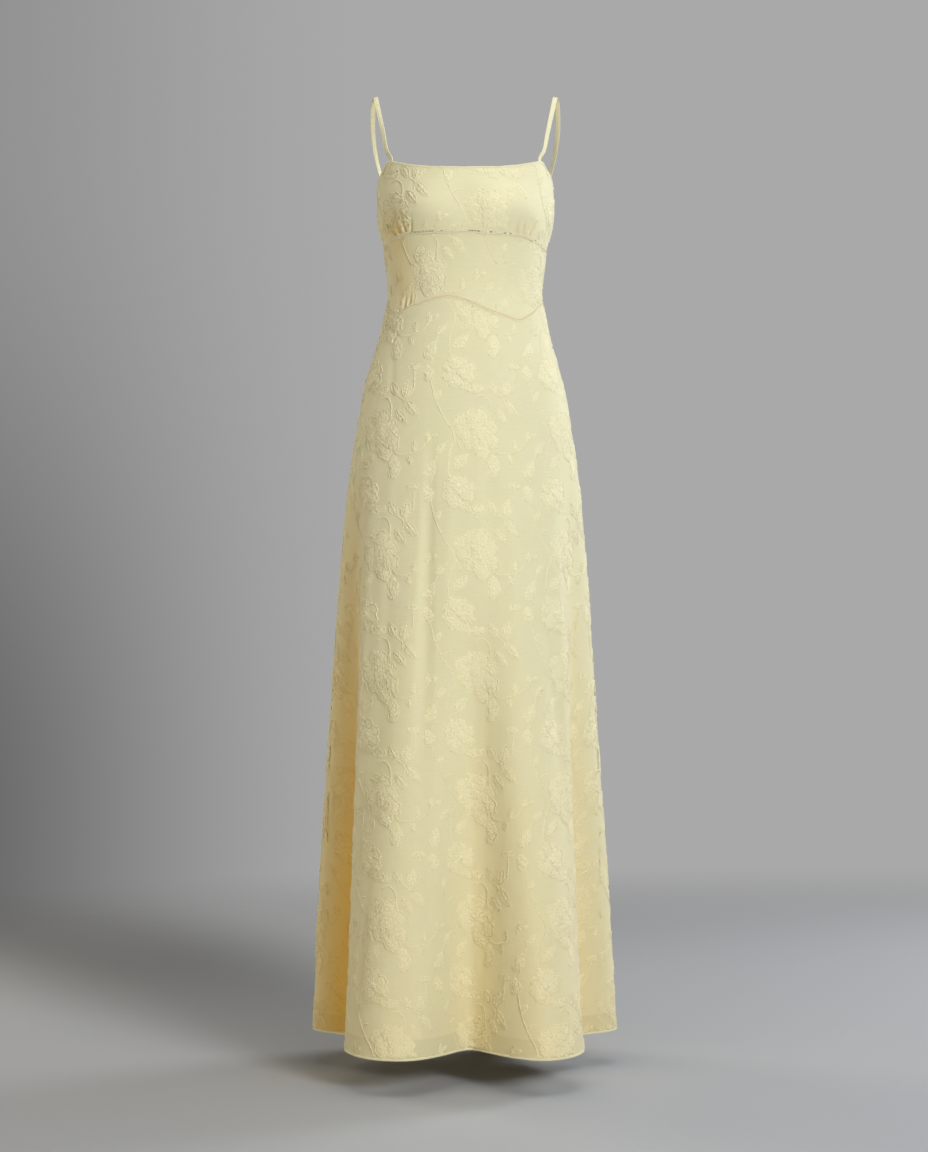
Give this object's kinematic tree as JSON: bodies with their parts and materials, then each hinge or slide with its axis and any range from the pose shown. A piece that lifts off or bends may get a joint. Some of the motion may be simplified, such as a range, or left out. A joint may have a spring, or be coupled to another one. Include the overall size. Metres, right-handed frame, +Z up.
{
  "type": "maxi dress",
  "caption": "Long A-line maxi dress with narrow straps, gathered bust, princess-seamed midriff, ladder trims at underbust and curved waist, and a folded skirt of sheer cloth over a shorter lining.",
  "frame": {"origin": "midway between the two straps, at the height of the tops of the straps, where a wearer's shoulders carry the dress", "axes": "+Z up along the dress, -Y towards the front, +X towards the viewer's right when the front is seen"},
  "size_m": [0.461, 0.4078, 1.4057],
  "materials": {
    "sheer_cloth": "soft matt sheer weave with a raised tone-on-tone figure",
    "lining_cloth": "plain closely woven, matt",
    "ladder_trim": "matt thread, openwork"
  },
  "bodies": {
    "root": {"bust_front": "sheer_cloth", "bust_back": "sheer_cloth", "strap_right": "sheer_cloth", "strap_left": "sheer_cloth", "underbust_trim": "ladder_trim", "midriff_centre": "sheer_cloth", "midriff_left": "sheer_cloth", "midriff_right": "sheer_cloth", "midriff_back": "sheer_cloth", "waist_trim": "ladder_trim", "skirt_front": "sheer_cloth", "skirt_back": "sheer_cloth", "lining_front": "lining_cloth", "lining_back": "lining_cloth"}
  },
  "joints": []
}
